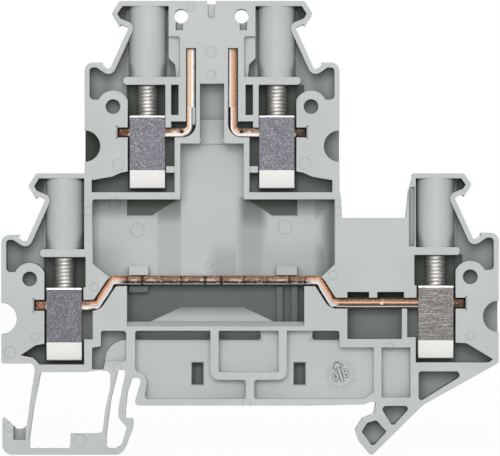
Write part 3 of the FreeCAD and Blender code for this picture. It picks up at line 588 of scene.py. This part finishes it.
def makeCopper(name, cutOf, *where):
    made, here, place = startMaterial(name)
    x, z = splitPlace(here, place)[::2]
    smear = place.noise(copper["smear"], 3, 0.6)
    streak = place.noise(copper["streak"], 3, 0.65)
    patch = place.noise(copper["patch"], 2, 0.5)
    cutEdge = abs(splitPlace(here, flatNormalOf(here))[1]).step(0.7, 0.9)
    cut = cutOf(here, x, z, *where)
    at = cut["at"] + (smear - 0.5) * 0.14  # from the copper side at 0 to the tin side at 1

    # the run of colours across the edge
    colour = cutRamp(at, cut["base"])
    for mask, ramp in cut["parts"]:
        colour = mask.mix(colour, cutRamp(at, ramp))

    # worn tin, brown stains and flecks, and a mottled cream band of painted highlight between copper and tin
    copperSide = 1 - at.step(0.45, 0.6)
    band = 1 - abs(at - 0.44).step(0.05, 0.15)
    brown = (1 - patch.step(0.4, 0.52)) * streak.step(0.35, 0.6) * copperSide
    fleck = smear.step(0.55, 0.63) * streak.step(0.45, 0.6) * at.step(0.4, 0.5) * (1 - at.step(0.8, 0.92))
    layers = [(band * patch.step(0.5, 0.6) * cut["mottle"] * 0.8, "cream"),
              (brown * (0.12 + cut["mottle"] * 0.6), "brown"),
              (streak.step(0.56, 0.66) * copperSide * 0.45, "spark"),
              ((1 - streak.step(0.33, 0.44)) * copperSide * 0.4, "brown"),
              ((1 - streak.step(0.38, 0.48)) * copperSide * cut["mottle"] * 0.5, "line"),
              (fleck * cut["mottle"] * 0.9, "fleck"),
              (cut["dark"] * 0.9, "line")]
    if "spark" in cut:
        layers.append((cut["spark"] * 0.8, "cream"))
    for mask, shade in layers:
        colour = mask.mix(colour, tone(copper[shade]))

    # the bar's end, painted shade of the gap beside the bend and the faces that aren't cut
    stubColour = (1 - streak.step(0.42, 0.5)).mix(cut["stubColour"], tone(copper["stubDark"]))
    stubColour = smear.step(0.56, 0.64).mix(stubColour, tone(copper["stubDark"]))
    stubColour = (streak.step(0.6, 0.66) * 0.6).mix(stubColour, tone(copper["fleck"]))
    stubColour = abs(at - 0.5).step(0.36, 0.44).mix(stubColour, tone(copper["line"]))
    colour = cut["stub"].mix(colour, stubColour)
    colour = cut["gap"].mix(colour, cut["wall"].mix(tone(copper["gap"]), tone(copper["wall"])))
    colour = (1 - cutEdge).mix(colour, tone(copper["side"]))
    height = (streak * copper["streakHeight"] + smear * copper["smearHeight"]
              - cut["dark"] * copper["markDepth"])
    endMaterial(here, {"Specular IOR Level": copper["reflection"]}, **{
        "Base Color": colour, "Metallic": (1 - cut["gap"]) * copper["metal"],
        "Roughness": copper["roughness"] + streak * 0.2, "Normal": bumpOf(here, height)})
    return made


# the leg's x in mm, the side of the gap beside it, the leg's colours and the gap's width in mm
paint(makeCopper("tinned_copper_left", upperCut, -8.35, 1, "leftLeg", 0.42), "upper_left_bar")
paint(makeCopper("tinned_copper_right", upperCut, -2.45, -1, "rightLeg", 0.24), "upper_right_bar")
paint(makeCopper("tinned_copper_lower", lowerCut), "lower_bar")
print("bars painted")


# clamp sleeves
zinc = {
    "body": "57555d", "cloud": "626068", "pale": "c4c2c6", "dark": "302e36", "brown": "5f5a55",
    "facetReflection": "fffdfa", "facetFoot": "8f8c88", "edge": "fffefb",
    "speckSize": 0.32 * mm, "dotSize": 0.15 * mm, "cloudSize": 1.6 * mm, "brushedSize": 0.25 * mm,
    "speckHeight": 0.02 * mm, "brushedHeight": 0.008 * mm, "roughness": 0.42, "metal": 0.35,
    "outer": (20 * mm, 21 * mm),  # farther from the middle than this stand the lower sleeves
}
stations = {  # the part of the block in x, in mm, where each clamp stands
    "upper_left": (-20, -5), "upper_right": (-5, 15), "lower_left": (-40, -20), "lower_right": (15, 40),
}


def makeZinc():
    made, here, place = startMaterial("zinc_plated_steel")
    x, z = splitPlace(here, place)[::2]
    speck = place.noise(zinc["speckSize"], 4, 0.8)
    dots = place.noise(zinc["dotSize"], 1, 0.5)
    cloud = place.noise(zinc["cloudSize"], 2)
    brushed = place.noise(zinc["brushedSize"], 2, 0.6, (0.08, 1, 1))
    upward = splitPlace(here, flatNormalOf(here))[2]
    downward = upward * -1
    facetReflection = downward.step(0.22, 0.3) * (1 - downward.step(0.6, 0.75))
    edge = upward.step(0.04, 0.14) * (1 - upward.step(0.9, 0.97))
    leftOne = (x * -1).step(*zinc["outer"])
    rightOne = x.step(*zinc["outer"])
    colour = cloud.step(0.3, 0.7).mix(tone(zinc["body"]), tone(zinc["cloud"]))
    layers = [(rightOne, "brown"), (speck.step(0.54, 0.7) * 0.34, "pale"),
              ((1 - speck.step(0.34, 0.45)) * 0.55, "dark"), (dots.step(0.56, 0.68) * 0.32, "pale"),
              ((1 - dots.step(0.32, 0.44)) * 0.6, "dark"),
              (rightOne * brushed.step(0.5, 0.65) * 0.3, "pale"), (leftOne * 0.2, "dark")]
    for mask, shade in layers:
        colour = mask.mix(colour, tone(zinc[shade]))

    # painted reflection on the lower facet, duller at its foot
    feet = []
    for station, (left, right) in stations.items():
        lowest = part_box(station + "_sleeve")[0].z
        feet.append((1 - (z - lowest).step(0.02 * mm, 0.4 * mm)) * x.span(left - 0.05, right + 0.05, 0.05))
    facetColour = (strongest(feet) * 0.9).mix(tone(zinc["facetReflection"]), tone(zinc["facetFoot"]))
    colour = (facetReflection * (0.93 + brushed * 0.1)).mix(colour, facetColour)
    # painted highlight along the rounded top edge and painted shade on faces that look down
    colour = edge.mix(colour, tone(zinc["edge"]))
    colour = (downward.step(0.5, 0.7) * 0.6).mix(colour, tone(zinc["dark"]))
    height = speck * zinc["speckHeight"] + brushed * zinc["brushedHeight"]
    endMaterial(here, {}, **{
        "Base Color": colour, "Metallic": zinc["metal"] * (1 - facetReflection) + edge * (1 - zinc["metal"]),
        "Roughness": zinc["roughness"] + cloud * 0.12 - edge * 0.28, "Normal": bumpOf(here, height)})
    return made


paint(makeZinc(), *[station + "_sleeve" for station in stations])
print("sleeves painted")


# clamp screws
screw = {
    "pitch": 0.5 * mm, "crest": 1.45 * mm, "root": 1.3 * mm, "steps": 40,
    "flank": [0, 0, 0.28, 0.72, 1, 0.72, 0.28, 0, 0],  # from the root at 0 to the crest at 1, up one pitch
    "weld": 0.002 * mm, "cutWeld": 0.0001 * mm, "tip": 0.02 * mm, "intoHead": 0.1 * mm,
    "headRadius": 1.85 * mm, "headHeight": 1.95 * mm, "headChamfer": 0.22 * mm, "headSides": 64,
    "slotWidth": 0.6 * mm, "slotDepth": 0.9 * mm, "smoothBelow": math.radians(35),
    "body": "c6c4c0", "pale": "dedcd7", "cloud": 0.8 * mm, "speck": 0.12 * mm, "speckHeight": 0.006 * mm,
    "roughness": 0.4, "metal": 0.8,
}


def makeBrightSteel():
    made, here, place = startMaterial("bright_plated_steel")
    cloud = place.noise(screw["cloud"], 3, 0.6)
    speck = place.noise(screw["speck"], 2, 0.6)
    colour = cloud.step(0.35, 0.7).mix(tone(screw["body"]), tone(screw["pale"]))
    endMaterial(here, {"Metallic": screw["metal"]}, **{
        "Base Color": colour, "Roughness": screw["roughness"] + cloud * 0.12,
        "Normal": bumpOf(here, speck * screw["speckHeight"])})
    return made


def makeThread(foot, top):  # profile of one pitch, swept up in turns and cut off flat at both ends
    pitch, root = screw["pitch"], screw["root"]
    freshStart()
    bpy.ops.mesh.primitive_plane_add(size=pitch, location=(root, 0, foot - pitch),
                                     rotation=(math.pi / 2, 0, 0))
    thread = bpy.context.object
    settle(thread, "screw_thread")
    bpy.ops.object.mode_set(mode="EDIT")
    bpy.ops.mesh.select_mode(type="VERT")
    bpy.ops.mesh.select_all(action="DESELECT")
    bpy.ops.object.mode_set(mode="OBJECT")
    for vertex in thread.data.vertices:
        vertex.select = vertex.co.x < root
    bpy.ops.object.mode_set(mode="EDIT")
    bpy.ops.mesh.delete(type="VERT")
    bpy.ops.mesh.select_all(action="SELECT")
    bpy.ops.mesh.subdivide(number_cuts=len(screw["flank"]) - 2)
    bpy.ops.object.mode_set(mode="OBJECT")
    ordered = sorted(thread.data.vertices, key=lambda vertex: vertex.co.z)
    for vertex, share in zip(ordered, screw["flank"]):
        vertex.co.x = root + share * (screw["crest"] - root)
    bpy.ops.object.modifier_add(type="SCREW")
    sweep = thread.modifiers[-1]
    sweep.angle = 2 * math.pi
    sweep.screw_offset = pitch
    sweep.iterations = math.ceil((top - foot) / pitch) + 2
    sweep.steps = screw["steps"]
    sweep.render_steps = screw["steps"]
    bpy.ops.object.modifier_apply(modifier=sweep.name)
    bpy.ops.object.mode_set(mode="EDIT")
    bpy.ops.mesh.select_all(action="SELECT")
    bpy.ops.mesh.remove_doubles(threshold=screw["weld"])
    for height, up in ((foot + screw["tip"], -1), (top + screw["intoHead"], 1)):
        bpy.ops.mesh.select_all(action="SELECT")
        bpy.ops.mesh.bisect(plane_co=(0, 0, height), plane_no=(0, 0, up), use_fill=True, clear_outer=True,
                            threshold=screw["cutWeld"])
    bpy.ops.mesh.select_all(action="SELECT")
    bpy.ops.mesh.normals_make_consistent(inside=False)
    bpy.ops.object.mode_set(mode="OBJECT")
    return thread


def makeHead(top):  # a round head with chamfered rims and a slot along x
    height = screw["headHeight"]
    freshStart()
    bpy.ops.mesh.primitive_cylinder_add(vertices=screw["headSides"], radius=screw["headRadius"],
                                        depth=height, location=(0, 0, top - height / 2))
    head = bpy.context.object
    settle(head, "screw_head")
    bpy.ops.object.mode_set(mode="EDIT")
    bpy.ops.mesh.select_mode(type="EDGE")
    bpy.ops.mesh.select_all(action="DESELECT")
    bpy.ops.object.mode_set(mode="OBJECT")
    for edge in head.data.edges:
        start, end = [head.data.vertices[i].co.z for i in edge.vertices]
        edge.select = abs(start - end) < 0.001 * mm
    bpy.ops.object.mode_set(mode="EDIT")
    bpy.ops.mesh.bevel(offset=screw["headChamfer"], segments=3)
    bpy.ops.object.mode_set(mode="OBJECT")
    freshStart()
    bpy.ops.mesh.primitive_cube_add(size=1, location=(0, 0, top))
    cutter = bpy.context.object
    cutter.scale = (5 * screw["headRadius"], screw["slotWidth"], 2 * screw["slotDepth"])
    settle(cutter, "slot_cutter")
    freshStart()
    head.select_set(True)
    bpy.context.view_layer.objects.active = head
    bpy.ops.object.modifier_add(type="BOOLEAN")
    slot = head.modifiers[-1]
    slot.operation = "DIFFERENCE"
    slot.object = cutter
    bpy.ops.object.modifier_apply(modifier=slot.name)
    bpy.data.objects.remove(cutter)
    return head


def makeScrew(look):
    low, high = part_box("upper_left_screw")
    thread = makeThread(low.z, high.z - screw["headHeight"])
    head = makeHead(high.z)
    freshStart()
    thread.select_set(True)
    head.select_set(True)
    bpy.context.view_layer.objects.active = thread
    bpy.ops.object.join()
    bpy.ops.object.shade_smooth_by_angle(angle=screw["smoothBelow"])
    thread.data.validate()
    coat(thread, look)
    return thread, Vector((0, 0, low.z))


pattern, patternFoot = makeScrew(makeBrightSteel())
for station in stations:
    low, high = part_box(station + "_screw")
    copy = pattern.copy()
    copy.data = pattern.data.copy()
    bpy.context.scene.collection.objects.link(copy)
    freshStart()
    copy.location = Vector(((low.x + high.x) / 2, 0, low.z)) - patternFoot
    settle(copy, station + "_threaded_screw")
    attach(copy, station + "_screw")
    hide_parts(station + "_screw")
bpy.data.objects.remove(pattern)
print("screws threaded")


# floor, light and camera
studio = {
    "worldLight": 0.19, "mirrorLight": 0.9, "aimZ": 24.93 * mm,
    "lamps": [  # name, place and size in metres, power
        ("front_light", (-0.04, -0.9, 0.12), 0.5, 6.7),
        ("top_light", (0.1, -0.2, 0.55), 0.5, 0.5),
        ("back_light", (0.15, 0.9, 0.25), 0.5, 5.4),
    ],
    "floor": "eeeeee", "floorPale": "f3f3f3", "floorCloud": 60 * mm, "floorGlow": 0.96,
    "floorSize": 4, "floorBelow": 0.02 * mm,
    "lens": 435.9, "sensor": 36, "distance": 850 * mm, "cameraX": -0.07 * mm, "nearest": 0.01, "farthest": 20,
}


def raysOf(here):  # 1 for the rays that come from the camera, a mirror or glass
    return [here.node("ShaderNodeLightPath", output=kind)
            for kind in ("Is Camera Ray", "Is Glossy Ray", "Is Transmission Ray")]


def makeFloor():
    made, here, place = startMaterial("pale_floor")
    cloud = place.noise(studio["floorCloud"], 2)
    colour = cloud.step(0.3, 0.7).mix(tone(studio["floor"]), tone(studio["floorPale"]))
    matt = here.node("ShaderNodeBsdfDiffuse", {}, {"Color": colour})
    glow = here.node("ShaderNodeEmission", {}, {"Color": (1, 1, 1, 1), "Strength": 1.0})
    share = strongest(raysOf(here)) * studio["floorGlow"]
    mixed = here.node("ShaderNodeMixShader", {}, {0: share, 1: matt, 2: glow})
    here.node("ShaderNodeOutputMaterial", {}, {"Surface": mixed})
    freshStart()
    bpy.ops.mesh.primitive_plane_add(size=studio["floorSize"],
                                     location=(0, 0, cadLow.z - studio["floorBelow"]))
    floor = bpy.context.object
    settle(floor, "floor")
    coat(floor, made)


def makeSky():
    world = bpy.data.worlds.new("studio")
    bpy.context.scene.world = world
    world.use_nodes = True
    world.node_tree.nodes.clear()
    here = Socket(world.node_tree)
    seen, mirrored, passed = raysOf(here)
    strength = (mirrored * studio["mirrorLight"]).most(studio["worldLight"]).most(seen).most(passed)
    light = here.node("ShaderNodeBackground", {}, {"Color": (1, 1, 1, 1), "Strength": strength})
    here.node("ShaderNodeOutputWorld", {}, {"Surface": light})


def addLamp(name, place, size, power):
    lamp = bpy.data.lights.new(name, "AREA")
    lamp.shape = "RECTANGLE"
    lamp.size = size
    lamp.size_y = size
    lamp.energy = power
    holder = bpy.data.objects.new(name, lamp)
    holder.location = place
    toBlock = Vector((0, 0, studio["aimZ"])) - Vector(place)
    holder.rotation_euler = toBlock.to_track_quat("-Z", "Y").to_euler()
    bpy.context.scene.collection.objects.link(holder)


def addCamera():
    camera = bpy.data.cameras.new("camera")
    camera.lens = studio["lens"]
    camera.sensor_width = studio["sensor"]
    camera.clip_start = studio["nearest"]
    camera.clip_end = studio["farthest"]
    holder = bpy.data.objects.new("camera", camera)
    holder.location = (studio["cameraX"], cadLow.y - studio["distance"], studio["aimZ"])
    holder.rotation_euler = (math.pi / 2, 0, 0)
    bpy.context.scene.collection.objects.link(holder)
    bpy.context.scene.camera = holder


makeFloor()
makeSky()
for name, place, size, power in studio["lamps"]:
    addLamp(name, place, size, power)
addCamera()
bpy.context.scene.view_settings.view_transform = "Standard"
print("stage, light and camera set")
